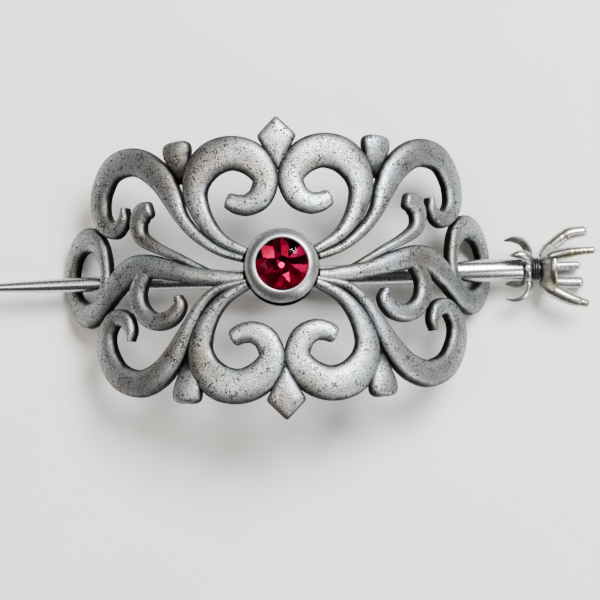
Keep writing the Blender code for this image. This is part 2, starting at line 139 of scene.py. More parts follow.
def markWearAndShade(piece, rule):
    # how bright each point is left: 0 in the hollows, 1 where fingers reach; on the head it is
    # painted shade and painted light
    layer = piece.data.attributes.new("crownHeight", "FLOAT", "POINT")
    layer.data.foreach_set("value", [rule(vert.co, vert.normal) for vert in piece.data.vertices])


def smoothPath(stops, steps):
    # a curve through every stop; each stop is a list of numbers of any length
    rows = [list(stop) for stop in stops]
    first = [2 * a - b for a, b in zip(rows[0], rows[1])]
    last = [2 * a - b for a, b in zip(rows[-1], rows[-2])]
    rows = [first] + rows + [last]
    made = []
    for a, b, c, d in zip(rows, rows[1:], rows[2:], rows[3:]):
        for k in range(steps):
            t = k / steps
            made.append([0.5 * (2 * q + (r - p) * t + (2 * p - 5 * q + 4 * r - s) * t * t
                                + (3 * q - p - 3 * r + s) * t ** 3)
                         for p, q, r, s in zip(a, b, c, d)])
    made.append(rows[-2])
    return made


def linear(code):
    # sRGB hex to linear
    parts = [int(code[i:i + 2], 16) / 255 for i in (1, 3, 5)]
    return tuple(c / 12.92 if c <= 0.04045 else ((c + 0.055) / 1.055) ** 2.4
                 for c in parts) + (1.0,)


def fade(*stops):
    # a ramp in greys: place and brightness
    return [(place, (value, value, value, 1.0)) for place, value in stops]


def addNode(tree, kind, links=None, values=None, stops=None, **settings):
    # links and values go by the socket's name or number, settings by the node's own names;
    # stops are a color ramp's
    node = tree.nodes.new(kind)
    for name, value in settings.items():
        setattr(node, name, value)
    for socket, value in (values or {}).items():
        node.inputs[socket].default_value = value
    for socket, source in (links or {}).items():
        tree.links.new(source, node.inputs[socket])
    if stops:
        points = node.color_ramp.elements
        while len(points) < len(stops):
            points.new(0.5)
        for point, (place, color) in zip(points, stops):
            point.position = place
            point.color = color
    return node


def newMaterial(name, values):
    material = bpy.data.materials.new(name)
    material.use_nodes = True
    tree = material.node_tree
    shader = tree.nodes["Principled BSDF"]
    for socket, value in values.items():
        shader.inputs[socket].default_value = value
    place = addNode(tree, "ShaderNodeTexCoord").outputs["Object"]
    return material, tree, shader, place


silverSpec = {
    # size in mm and detail: the grain of the casting, the patches where specks crowd together and
    # the drifts of warmer tone
    "grain": (0.22, 2.0), "clump": (1.6, 3.0), "cloud": (9.0, 2.0),
    "crowdGain": 1.5, "crowdShift": -0.37, "speckSpread": 0.42, "speckRagged": 0.55,
    "speckEdge": 0.10,
    "mottle": fade((0.36, 0.90), (0.63, 0)),  # fine grey left in the pits of the grain
    "raggedGain": 0.40, "raggedShift": -0.20,  # how ragged the edge of the blackening is
    "warmFrom": 0.40, "warmTo": 0.64,
    "darkDullness": 0.3,  # roughness that the blackening adds
    "pitStrength": 0.5,
}


def agedSilver(name, high, warm, low, roughness, speckSize, speckAmount, hollows, pitDepth=0.02):
    # silver plate on cast zinc, blackened and then rubbed back: bright on top, dark in the hollows;
    # on the head that dark is painted shade.
    # speckSize and pitDepth are in mm; hollows fades from the crevices to the crowns
    spec = silverSpec
    material, tree, shader, place = newMaterial(name, {"Metallic": 1.0})
    grain, clumps, clouds = (
        addNode(tree, "ShaderNodeTexNoise", {"Vector": place},
                {"Scale": 1 / (size * mm), "Detail": detail}).outputs["Fac"]
        for size, detail in (spec["grain"], spec["clump"], spec["cloud"]))
    cells = addNode(tree, "ShaderNodeTexVoronoi", {"Vector": place},
                    {"Scale": 1 / (speckSize * mm)})
    wearAndShade = addNode(tree, "ShaderNodeAttribute", attribute_name="crownHeight")
    # specks crowd together where the rubbing was light
    crowd = addNode(tree, "ShaderNodeMath", {0: clumps},
                    {1: spec["crowdGain"], 2: spec["crowdShift"]}, operation="MULTIPLY_ADD")
    reach = addNode(tree, "ShaderNodeMath", {0: cells.outputs["Color"], 2: crowd.outputs[0]},
                    {1: spec["speckSpread"]}, operation="MULTIPLY_ADD")
    distance = addNode(tree, "ShaderNodeMath", {0: grain, 2: cells.outputs["Distance"]},
                       {1: spec["speckRagged"]}, operation="MULTIPLY_ADD")
    inside = addNode(tree, "ShaderNodeMath", {0: reach.outputs[0], 1: distance.outputs[0]},
                     operation="SUBTRACT")
    specks = addNode(tree, "ShaderNodeValToRGB", {"Fac": inside.outputs[0]},
                     stops=fade((0, 0), (spec["speckEdge"], 1)))
    mottle = addNode(tree, "ShaderNodeValToRGB", {"Fac": grain}, stops=spec["mottle"])
    marks = addNode(tree, "ShaderNodeMath",
                    {0: specks.outputs["Color"], 1: mottle.outputs["Color"]}, operation="MAXIMUM")
    marksDark = addNode(tree, "ShaderNodeMath", {0: marks.outputs[0]}, {1: speckAmount},
                        operation="MULTIPLY")
    # the blackening stays in the hollows, with a ragged edge; on the head it is painted shade
    ragged = addNode(tree, "ShaderNodeMath", {0: clumps},
                     {1: spec["raggedGain"], 2: spec["raggedShift"]}, operation="MULTIPLY_ADD")
    level = addNode(tree, "ShaderNodeMath", {0: wearAndShade.outputs["Fac"], 1: ragged.outputs[0]},
                    operation="ADD")
    hollow = addNode(tree, "ShaderNodeValToRGB", {"Fac": level.outputs[0]}, stops=hollows)
    dark = addNode(tree, "ShaderNodeMath", {0: marksDark.outputs[0], 1: hollow.outputs["Color"]},
                   operation="MAXIMUM")
    tone = addNode(tree, "ShaderNodeValToRGB", {"Fac": clouds},
                   stops=[(spec["warmFrom"], linear(high)), (spec["warmTo"], linear(warm))])
    color = addNode(tree, "ShaderNodeMix", {"Factor": dark.outputs[0], "A": tone.outputs["Color"]},
                    {"B": linear(low)}, data_type="RGBA")
    tree.links.new(color.outputs["Result"], shader.inputs["Base Color"])
    gloss = addNode(tree, "ShaderNodeMath", {0: dark.outputs[0]},
                    {1: spec["darkDullness"], 2: roughness}, operation="MULTIPLY_ADD")
    tree.links.new(gloss.outputs[0], shader.inputs["Roughness"])
    pits = addNode(tree, "ShaderNodeBump", {"Height": grain},
                   {"Strength": spec["pitStrength"], "Distance": pitDepth * mm})
    tree.links.new(pits.outputs["Normal"], shader.inputs["Normal"])
    return material


# antique silver plating on the cast plate: satin highs, black crevices and fine dark specks
antiqueSilver = agedSilver(
    "antiqueSilverCasting", "#B9BFC2", "#94908A", "#0E0E0E", 0.35, 0.42, 0.90,
    fade((0.50, 1), (0.66, 0.90), (0.80, 0.60), (0.91, 0.30), (1.0, 0.03)))
# the bezel is turned and burnished, so it is smoother and its specks are fainter
bezelSilver = agedSilver(
    "burnishedSilverBezel", "#BCC0C1", "#A4A29C", "#141413", 0.30, 0.42, 0.66,
    fade((0.15, 1), (0.35, 0.7), (0.62, 0.35), (0.92, 0)))
# drawn rod, plated and polished: long soft streaks of light and hardly any specks
polishedSilver = agedSilver(
    "polishedSilverRod", "#C6CACA", "#B4B6B4", "#3A3A39", 0.21, 0.60, 0.30,
    fade((0.1, 1), (0.3, 0)), 0.004)
# the head is cast and plated; the brown-black between its claws and inside its cup is painted shade
headSilver = agedSilver(
    "castSilverHead", "#BDC0BD", "#968A6E", "#17140F", 0.24, 0.40, 0.50,
    fade((0.32, 1), (0.50, 0.7), (0.72, 0.15), (0.9, 0)), 0.012)
# the ribbed ring was blackened and never rubbed back: dull, with a little light on its ribs
blackSilver = agedSilver(
    "blackenedSilverRing", "#4C4E4C", "#3C3A36", "#0D0D0D", 0.32, 0.30, 0.6,
    fade((0.3, 1), (0.8, 0)))


glassSpec = {
    # size in mm and detail: slow drift of the red, and the foil's grain
    "drift": (5.0, 1.0), "foilGrain": (0.5, 2.0),
    "grainShare": 0.10,  # how much the grain changes a facet's tone
    "leastSpread": 0.12, "toneSpread": 0.42,  # the foil's roughness, and what a bright tone adds
}


def makeRubyGlass():
    # pressed and fire-polished red glass: clear and deep crimson, so the facets behind it show.
    # the tinted surface keeps the lights' reflections from hiding them
    material, tree, shader, place = newMaterial("rubyGlass", {
        "Roughness": 0.02, "IOR": 1.50, "Transmission Weight": 1.0,
        "Specular Tint": linear("#5C525A")})
    size, detail = glassSpec["drift"]
    drift = addNode(tree, "ShaderNodeTexNoise", {"Vector": place},
                    {"Scale": 1 / (size * mm), "Detail": detail})
    tint = addNode(tree, "ShaderNodeValToRGB", {"Fac": drift.outputs["Fac"]},
                   stops=[(0.3, linear("#EA1480")), (0.7, linear("#F42290"))])
    tree.links.new(tint.outputs["Color"], shader.inputs["Base Color"])
    return material


def makeFoil():
    # mirror foil fired on behind the stone: each facet's colour is painted,
    # from a dark painted reflection to a bright painted glint
    material, tree, shader, place = newMaterial("redMirrorFoil", {"Metallic": 1.0})
    size, detail = glassSpec["foilGrain"]
    grain = addNode(tree, "ShaderNodeTexNoise", {"Vector": place},
                    {"Scale": 1 / (size * mm), "Detail": detail})
    tone = addNode(tree, "ShaderNodeAttribute", attribute_name="paintedFacetGlint")
    level = addNode(tree, "ShaderNodeMath", {0: grain.outputs["Fac"], 2: tone.outputs["Fac"]},
                    {1: glassSpec["grainShare"]}, operation="MULTIPLY_ADD")
    # the foil's colour: dark painted reflections up to bright painted glints
    tint = addNode(tree, "ShaderNodeValToRGB", {"Fac": level.outputs[0]},
                   stops=[(0.05, linear("#2C0426")), (0.40, linear("#7A1E5A")),
                          (0.80, linear("#FF6EAC")), (1.0, linear("#FF94C4"))])
    tree.links.new(tint.outputs["Color"], shader.inputs["Base Color"])
    # a facet painted with a glint is rougher, and a dark one is a clear mirror
    spread = addNode(tree, "ShaderNodeMath", {0: tone.outputs["Fac"]},
                     {1: glassSpec["toneSpread"], 2: glassSpec["leastSpread"]},
                     operation="MULTIPLY_ADD")
    tree.links.new(spread.outputs[0], shader.inputs["Roughness"])
    return material


rubyGlass = makeRubyGlass()
mirrorFoil = makeFoil()
print("materials made")

# the openwork plate is drawn flat, in mm, for its right half, and then mirrored and bent
plateSpec = {
    "thickness": 2.0, "bendRadius": 46.0, "smoothAngle": 38,
    "shoulder": 0.34, "fullness": 2.5,  # of a band's section: its upright side and its crown
    "stepsPerStop": 7,
    "loopMiddle": (41.3, 1.2), "loopHole": (4.22, 4.7), "loopTurns": 96,
    "innerRim": 2.4, "outerRim": 3.5, "sideRim": 4.6,
    "seatGap": 0.3, "seatDepth": 6.0, "seatSteps": 128,
    "hubRim": 0.36, "hubShare": 0.62, "hubSteps": 96,
}
# (distance out, distance up, half-width), and the crown's rise where it is less than whole
plateBands = {
    "innerScroll": [
        (3.0, 1.2, 0.9), (6.4, 2.9, 0.9), (10.6, 5.2, 1.15), (13.3, 8.1, 1.55),
        (14.95, 11.3, 1.95), (15.6, 14.4, 2.4), (14.7, 17.6, 3.0), (12.1, 20.1, 3.25),
        (8.3, 20.9, 3.15), (4.6, 19.5, 3.05), (2.35, 16.2, 2.5), (3.3, 12.9, 2.3),
        (5.6, 11.45, 2.0), (7.6, 11.55, 1.8), (8.9, 12.1, 1.6)],
    "upperOuterScroll": [
        (3.0, 0.8, 0.8), (6.5, 1.6, 0.65), (11.4, 3.4, 0.85), (15.6, 6.5, 1.1),
        (18.5, 10.0, 1.35), (20.4, 14.0, 2.1), (22.5, 17.4, 2.5), (26.0, 20.2, 2.6),
        (29.8, 21.2, 2.6), (34.1, 20.1, 2.55), (36.9, 16.3, 2.5), (37.1, 12.3, 2.2),
        (35.2, 9.7, 1.7), (32.9, 9.15, 1.6), (31.1, 10.6, 1.2), (30.7, 12.6, 0.65)],
    "lowerOuterScroll": [
        (3.0, -1.4, 0.8), (6.5, -2.3, 0.65), (11.8, -3.5, 0.85), (15.0, -6.0, 1.05),
        (17.2, -9.0, 1.3), (19.2, -12.3, 1.75), (21.3, -15.4, 2.2), (24.3, -18.1, 2.45),
        (28.7, -19.3, 2.5), (33.6, -17.5, 2.45), (36.5, -13.4, 2.45), (36.5, -9.7, 2.15),
        (34.1, -7.1, 1.65), (31.4, -7.5, 1.55), (30.1, -9.5, 1.15), (30.2, -11.2, 0.6)],
    "wing": [
        (3.0, -0.4, 1.3), (7.0, -1.6, 1.15), (12.0, -1.4, 1.5), (17.0, -0.5, 1.6),
        (22.0, 0.9, 1.95), (26.3, 1.8, 2.2), (29.7, 1.4, 2.4), (32.9, -0.5, 2.4),
        (35.9, -3.0, 2.15), (38.7, -5.2, 2.1), (41.6, -6.1, 2.1)],
    "tendril": [
        (12.6, -0.5, 0.5, 0.3), (15.6, 0.9, 0.6, 0.7), (19.3, 2.8, 0.75, 0.9),
        (23.8, 4.9, 1.0), (27.0, 7.0, 1.4), (27.7, 9.7, 1.8), (26.7, 11.5, 1.95),
        (25.4, 12.0, 1.6)],
    "hook": [
        (26.4, 0.6, 1.4), (28.2, -2.4, 1.75), (28.0, -5.2, 1.75), (26.3, -7.5, 1.7),
        (23.8, -8.45, 1.65), (21.0, -7.8, 1.6), (19.35, -6.0, 1.3), (19.6, -4.4, 0.75)],
    "upperLeaf": [
        (18.4, 16.0, 0.6, 0.0), (18.6, 19.2, 1.9, 0.7), (18.9, 21.1, 2.7, 0.95),
        (19.0, 22.2, 2.85)],
    "lowerLeaf": [
        (17.9, -14.6, 0.6, 0.0), (18.2, -18.2, 1.9, 0.7), (18.4, -20.6, 2.7, 0.95),
        (18.5, -21.9, 2.85)],
}
# a band's blunt end: run past its last stop and width left, in half-widths, and crown's rise left
bluntEnd = ((0.16, 0.985, 1.0), (0.30, 0.93, 0.97), (0.40, 0.85, 0.90), (0.48, 0.73, 0.78),
            (0.53, 0.58, 0.6), (0.56, 0.40, 0.35))
diamondSpec = {
    "top": 27.4, "middle": 23.7, "foot": 17.2, "halfWidth": 3.75, "corner": 0.7,
    "footPull": 0.3,  # how far towards the foot the cushion's peak lies
    # share of the outline and share of the thickness, from the back to the cushioned top
    "levels": ((1.0, 0.0), (1.0, 0.36), (0.985, 0.55), (0.95, 0.69), (0.89, 0.80),
               (0.79, 0.885), (0.66, 0.94), (0.48, 0.975), (0.28, 0.995), (0.08, 1.0)),
}


def crownSection():
    # flat back, short upright side and a full, softly flattened crown: across from -1 to 1 and up
    # from 0 to 1
    shoulder, power = plateSpec["shoulder"], 2 / plateSpec["fullness"]
    points = [(-1.0, 0.0), (-0.33, 0.0), (0.33, 0.0), (1.0, 0.0)]
    for angle in (0, 14, 27, 40, 53, 66, 78, 90, 102, 114, 127, 140, 153, 166, 180):
        c, s = math.cos(math.radians(angle)), math.sin(math.radians(angle))
        points.append((math.copysign(abs(c) ** power, c),
                       shoulder + (1 - shoulder) * abs(s) ** power))
    return points


def bandRings(rows, side, closed=False):
    # side is 1 for the right half of the plate and -1 for the left
    shoulder, section = plateSpec["shoulder"], crownSection()
    rings = []
    count = len(rows)
    for i, (x, y, width, rise) in enumerate(rows):
        before = rows[(i - 1) % count] if closed or i else rows[i]
        after = rows[(i + 1) % count] if closed or i < count - 1 else rows[i]
        along = Vector((after[0] - before[0], after[1] - before[1])).normalized()
        ring = []
        for across, height in section:
            if height > shoulder:
                height = shoulder + (height - shoulder) * rise
            px = x + along.y * width * across
            py = y - along.x * width * across
            ring.append(Vector((side * px, py, height * plateSpec["thickness"])) * mm)
        rings.append(ring)
    return rings


def bandSolid(stops, side):
    rows = smoothPath([(*stop, 1.0)[:4] for stop in stops], plateSpec["stepsPerStop"])
    last = rows[-1]
    along = Vector((last[0] - rows[-2][0], last[1] - rows[-2][1])).normalized()
    for reach, width, rise in bluntEnd:
        rows.append([last[0] + along.x * last[2] * reach, last[1] + along.y * last[2] * reach,
                     last[2] * width, rise])
    return skin(bandRings(rows, side))


def loopSolid(side):
    rows = []
    spec = plateSpec
    for k in range(spec["loopTurns"]):
        angle = 2 * math.pi * k / spec["loopTurns"]
        c, s = math.cos(angle), math.sin(angle)
        blend = 0.5 + 0.5 * c
        rim = spec["innerRim"] + (spec["outerRim"] - spec["innerRim"]) * blend
        rows.append([spec["loopMiddle"][0] + c * (spec["loopHole"][0] + 0.5 * rim),
                     spec["loopMiddle"][1] + s * (spec["loopHole"][1] + 0.5 * spec["sideRim"]),
                     0.5 * (rim * c * c + spec["sideRim"] * s * s), 1.0])
    return skin(bandRings(rows, side, closed=True), closed=True)


def diamondSolid(direction):
    # a kite with rounded corners and a soft cushion top
    spec = diamondSpec
    corners = [Vector((0, spec["top"])), Vector((-spec["halfWidth"], spec["middle"])),
               Vector((0, spec["foot"])), Vector((spec["halfWidth"], spec["middle"]))]
    outline = []
    for i, corner in enumerate(corners):
        before, after = corners[i - 1], corners[(i + 1) % len(corners)]
        start = corner + (before - corner).normalized() * spec["corner"]
        end = corner + (after - corner).normalized() * spec["corner"]
        nextStart = after + (corner - after).normalized() * spec["corner"]
        for t in (0, 0.25, 0.5, 0.75, 1.0):  # round the corner
            outline.append(start * (1 - t) ** 2 + corner * 2 * t * (1 - t) + end * t * t)
        for t in (0.2, 0.4, 0.6, 0.8):       # and along the side
            outline.append(end * (1 - t) + nextStart * t)
    peakY = (0.5 * (spec["top"] + spec["foot"]) * spec["footPull"]
             + spec["middle"] * (1 - spec["footPull"]))
    rings = [[Vector((p.x * share, (peakY + (p.y - peakY) * share) * direction,
                      height * plateSpec["thickness"])) * mm for p in outline]
             for share, height in spec["levels"]]
    return skin(rings)


def bendPlate(bm):
    # wraps the flat drawing round the bending cylinder; its crown touches the plate's top
    radius = plateSpec["bendRadius"] * mm
    back = radius - plateSpec["thickness"] * mm
    centreZ = plateHigh.z - radius
    layer = bm.verts.layers.float.new("crownHeight")
    for vert in bm.verts:
        vert[layer] = vert.co.z / (plateSpec["thickness"] * mm)
        angle = vert.co.x / radius
        reach = back + vert.co.z
        vert.co = Vector((reach * math.sin(angle) + middleX, vert.co.y,
                          reach * math.cos(angle) + centreZ))


def makePlate():
    spec = plateSpec
    solids = []
    for side in (1, -1):
        for name, stops in plateBands.items():
            solids.append(bandSolid(stops, side))
            if name == "innerScroll":  # the only band that is the same above and below
                solids.append(bandSolid([(x, -y, width) for x, y, width in stops], side))
        solids.append(loopSolid(side))
    solids += [diamondSolid(1), diamondSolid(-1)]
    hubRadius = bezelRadius + spec["hubRim"]
    hubTop = spec["thickness"] * spec["hubShare"]
    hub = [(0, 0), (hubRadius, 0), (hubRadius, hubTop), (0, hubTop)]
    solids.append(turn(hub, spec["hubSteps"]))
    plate = join("openworkScrollPlate", solids)
    bm = bmesh.new()
    bm.from_mesh(plate.data)
    bendPlate(bm)
    # both ends stand flat on the surface
    cut = bmesh.ops.bisect_plane(bm, geom=bm.verts[:] + bm.edges[:] + bm.faces[:],
                                 plane_co=(0, 0, plateLow.z), plane_no=(0, 0, -1),
                                 clear_outer=True)
    rim = [e for e in cut["geom_cut"] if isinstance(e, bmesh.types.BMEdge)]
    bmesh.ops.holes_fill(bm, edges=rim, sides=0)
    bmesh.ops.recalc_face_normals(bm, faces=bm.faces)
    bm.to_mesh(plate.data)
    bm.free()
    # the bezel's seat
    seatZ = (bezelLow.z - spec["seatGap"] * mm) / mm
    seatTop = seatZ + spec["seatDepth"]
    seatRadius = bezelRadius + spec["seatGap"] * 0.5
    seat = turn([(0, seatZ), (seatRadius, seatZ), (seatRadius, seatTop), (0, seatTop)],
                spec["seatSteps"], centre=(middleX, 0, 0))
    combine(plate, newMeshObject("seatCutter", seat), "DIFFERENCE")
    shade(plate.data, spec["smoothAngle"])
    plate.data.materials.clear()
    plate.data.materials.append(antiqueSilver)
    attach(plate, "slide")
    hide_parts("openwork_plate")
    print("plate made:", len(plate.data.polygons), "faces")


makePlate()

# the bezel and the stone, in mm out from their axis and above the bezel's underside
bezelSpec = {
    "mouth": 4.62, "steps": 160, "smoothAngle": 40,
    "cup": ((0, 0.6), (5.2, 0.6), (5.22, 3.1)),  # the hollow, from its floor up
    # the rolled lip: distance out from the mouth and drop from the top
    "lip": ((0, 0.42), (0.03, 0.12), (0.14, 0.02), (0.32, 0), (0.55, 0.06), (0.85, 0.2),
            (1.2, 0.42)),
    # the round shoulder: distance in from the outside and drop from the top
    "shoulder": ((0.34, 0.78), (0.14, 1.1), (0.03, 1.5), (0, 1.9)),
    # the broken edge at the foot: distance in from the outside and height
    "foot": ((0, 0.12), (0.1, 0)),
    "topBrightGain": 1.3, "topBrightShift": 0.05,  # brighter towards the top
}
stoneSpec = {
    "table": 2.9, "star": 3.85, "girdleLow": 2.7, "girdleHigh": 3.0,
    "facets": 8,
    # rings of corners under the girdle: share of the radius, height, and first corner in facets
    "pavilion": ((0.66, 1.95, 0.5), (0.36, 1.38, 0.0), (0.12, 1.04, 0.5)),
    "mergeAngle": 1.2, "smoothAngle": 1, "foilGap": 0.05, "foilThickness": 0.12,
    # painted reflections: how bright each foil facet is painted, taken in turn from facet to facet
    "paintedReflectionTones": (0.10, 0.28, 0.04, 0.18, 0.34, 0.08, 0.22, 0.02, 0.30, 0.14), "toneStride": 3,
    # painted glints, facets painted bright: direction in degrees, nearest and farthest distance
    # out, and tone
    "paintedGlints": ((135, 1.7, 4, 0.72), (80, 1.7, 4, 0.72), (36, 1.7, 5, 1.0), (-15, 3.2, 5, 1.0),
                (-69, 1.7, 3.2, 0.9)),
    "flashReach": 13, "culet": 0.75, "culetGlint": 0.66,
}
facetTurn = 360 / stoneSpec["facets"]  # degrees from one main facet to the next


def makeBezel():
    spec = bezelSpec
    top = (bezelHigh.z - bezelLow.z) / mm
    profile = list(spec["cup"])
    profile += [(spec["mouth"] + out, top - drop) for out, drop in spec["lip"]]
    profile += [(bezelRadius - inset, top - drop) for inset, drop in spec["shoulder"]]
    profile += [(bezelRadius - inset, height) for inset, height in spec["foot"]] + [(0, 0)]
    bezel = newMeshObject("bezelRing", turn(profile, spec["steps"],
                                            centre=(middleX, 0, bezelLow.z)), spec["smoothAngle"])
    bezel.data.materials.append(bezelSilver)

    # darker towards the foot and brighter towards the top; dark inside the cup
    def brightShare(place, normal):
        if math.hypot(place.x - middleX, place.y) <= (spec["mouth"] - 0.01) * mm:
            return 0.0  # inside the cup
        return clamp(spec["topBrightGain"] * (place.z - bezelLow.z) / (top * mm) - spec["topBrightShift"])

    markWearAndShade(bezel, brightShare)
    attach(bezel, "slide")
    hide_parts("bezel_cup")


def gemPoints():
    # a round brilliant from above: octagon table, eight star tips and sixteen girdle points
    radius = 0.5 * (stoneHigh.x - stoneLow.x) / mm
    top = (stoneHigh.z - bezelLow.z) / mm
    table, star = stoneSpec["table"], stoneSpec["star"]
    slope = (top - stoneSpec["girdleHigh"]) / (radius - table)
    starZ = top - slope * (star * math.cos(math.radians(0.5 * facetTurn)) - table)
    points = []
    for k in range(stoneSpec["facets"]):
        kite = math.radians((k + 0.5) * facetTurn)
        tip = math.radians(k * facetTurn)
        points.append((table * math.cos(kite), table * math.sin(kite), top))
        points.append((star * math.cos(tip), star * math.sin(tip), starZ))
    for k in range(2 * stoneSpec["facets"]):
        angle = math.radians(0.5 * k * facetTurn)
        for z in (stoneSpec["girdleLow"], stoneSpec["girdleHigh"]):
            points.append((radius * math.cos(angle), radius * math.sin(angle), z))
    return points, radius


def pavilionPoints(radius, drop=0.0):
    # rings of corners, turned half a facet from each other, run down to a small flat culet
    points = []
    for share, height, start in stoneSpec["pavilion"]:
        for k in range(stoneSpec["facets"]):
            angle = math.radians((k + start) * facetTurn)
            points.append((share * radius * math.cos(angle), share * radius * math.sin(angle),
                           height - drop))
    return points


def hullOf(points):
    bm = bmesh.new()
    for x, y, z in points:
        bm.verts.new((x * mm + middleX, y * mm, z * mm + bezelLow.z))
    result = bmesh.ops.convex_hull(bm, input=bm.verts)
    loose = [v for v in result["geom_interior"] if isinstance(v, bmesh.types.BMVert)]
    bmesh.ops.delete(bm, geom=loose, context="VERTS")
    bmesh.ops.dissolve_limit(bm, angle_limit=math.radians(stoneSpec["mergeAngle"]),
                             verts=bm.verts, edges=bm.edges)
    bmesh.ops.recalc_face_normals(bm, faces=bm.faces)
    return bm


def paintedFacetGlint(face):
    # how bright a foil facet is painted: a painted reflection in turn, and a painted glint where
    # the stone flashes
    spec = stoneSpec
    spot = face.calc_center_median() - Vector((middleX, 0, 0))
    reach = spot.xy.length / mm
    angle = math.degrees(math.atan2(spot.y, spot.x))
    if reach < spec["culet"]:
        return spec["culetGlint"]
    paintedReflectionTones = spec["paintedReflectionTones"]
    step = int(angle // (0.5 * facetTurn)) * spec["toneStride"] + int(reach)
    tone = paintedReflectionTones[step % len(paintedReflectionTones)]
    for flash, near, far, bright in spec["paintedGlints"]:
        if near < reach < far and abs((angle - flash + 180) % 360 - 180) < spec["flashReach"]:
            tone = bright
    return tone


def makeStone():
    crownPoints, radius = gemPoints()
    stone = newMeshObject("ruby", hullOf(crownPoints + pavilionPoints(radius)),
                          stoneSpec["smoothAngle"])
    stone.data.materials.append(rubyGlass)
    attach(stone, "slide")
    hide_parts("rhinestone")
    # the foil is the stone's underside again, a hair lower, without its lid and with a thickness
    gap = stoneSpec["foilGap"]
    girdle = [p for p in crownPoints if p[2] == stoneSpec["girdleLow"]]
    bowl = hullOf([(x, y, z - gap) for x, y, z in girdle] + pavilionPoints(radius, gap))
    lid = [f for f in bowl.faces if f.normal.z > 0.99]
    bmesh.ops.delete(bowl, geom=lid, context="FACES_ONLY")
    bmesh.ops.solidify(bowl, geom=bowl.faces[:], thickness=stoneSpec["foilThickness"] * mm)
    # every foil facet gets its painted reflection, and the flashing ones a painted glint
    layer = bowl.faces.layers.float.new("paintedFacetGlint")
    for face in bowl.faces:
        face[layer] = paintedFacetGlint(face)
    foil = newMeshObject("stoneFoil", bowl, stoneSpec["smoothAngle"])
    foil.data.materials.append(mirrorFoil)
    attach(foil, "slide")
    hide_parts("stone_adhesive")


makeBezel()
makeStone()
print("bezel and stone made")

# the stick lies along X; sizes in mm, from its tip
stickSpec = {
    "point": 26.0, "taper": 62.0, "pointShare": 0.60, "tip": 0.18, "bulge": 0.1,
    "steps": 96, "stepsPerStop": 10, "smoothAngle": 40,
    "nose": ((0, 0), (0.1, 0.05)), "noseLength": 0.15,
    "shoulderBack": 1.6,  # from the cuff's right face back to the rod's shoulder
    # the shoulder's rounded edge: distance in and distance back
    "edge": ((0, 0.3), (0.08, 0.1), (0.3, 0)),
    "tangRadius": 1.0, "tangEdge": 0.2,
}


def makeStick():
    spec = stickSpec
    full = 0.5 * (stickHigh.z - stickLow.z) / mm
    length = (stickHigh.x - stickLow.x) / mm
    shoulder = (cuffHigh.x - stickLow.x) / mm - spec["shoulderBack"]
    point, tang, tangEdge = spec["point"], spec["tangRadius"], spec["tangEdge"]
    pointRadius = full * spec["pointShare"]
    stops = [(0, spec["tip"]), (0.5 * point, 0.5 * pointRadius + spec["bulge"]),
             (point, pointRadius),
             (point + 0.5 * spec["taper"], 0.5 * (full + pointRadius) + spec["bulge"]),
             (point + spec["taper"], full)]
    profile = list(spec["nose"])
    profile += [(min(radius, full), x + spec["noseLength"])
                for x, radius in smoothPath(stops, spec["stepsPerStop"])]
    profile += [(full - inset, shoulder - back) for inset, back in spec["edge"]]
    profile += [(tang, shoulder), (tang, length - tangEdge), (tang - tangEdge, length),
                (0, length)]
    stick = newMeshObject("stick", turn(profile, spec["steps"], "X", (stickLow.x, 0, stickZ)),
                          spec["smoothAngle"])
    stick.data.materials.append(polishedSilver)
    markWearAndShade(stick, lambda place, normal: 1.0)
    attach(stick, "stick")
    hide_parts("stick_shaft")


makeStick()

# the head is a cuff with talons, a ribbed neck and a crown of claws; talons and claws are horns
hornSpec = {
    "rootAngles": (80, 55, 30), "rootRound": 0.5, "tipAngles": (20, 40, 58, 72, 83),
    "sides": 24, "lookBack": 2.0,
    # painted light and shade: brightness everywhere, more for facing out, painted shade for facing
    # along the stick, and more per mm past the cup; none this near the stick's axis
    "brightShare": 0.62, "brightOut": 0.55, "shadeAlong": 0.25, "brightPerMm": 0.9, "core": 0.2,
}


def aroundStick(x, reach, angle):
    # mm along X and out from the stick's axis; angle 0 is +Y and 90 is +Z
    turnAngle = math.radians(angle)
    return (Vector((x, reach * math.cos(turnAngle), reach * math.sin(turnAngle))) * mm
            + Vector((0, 0, stickZ)))


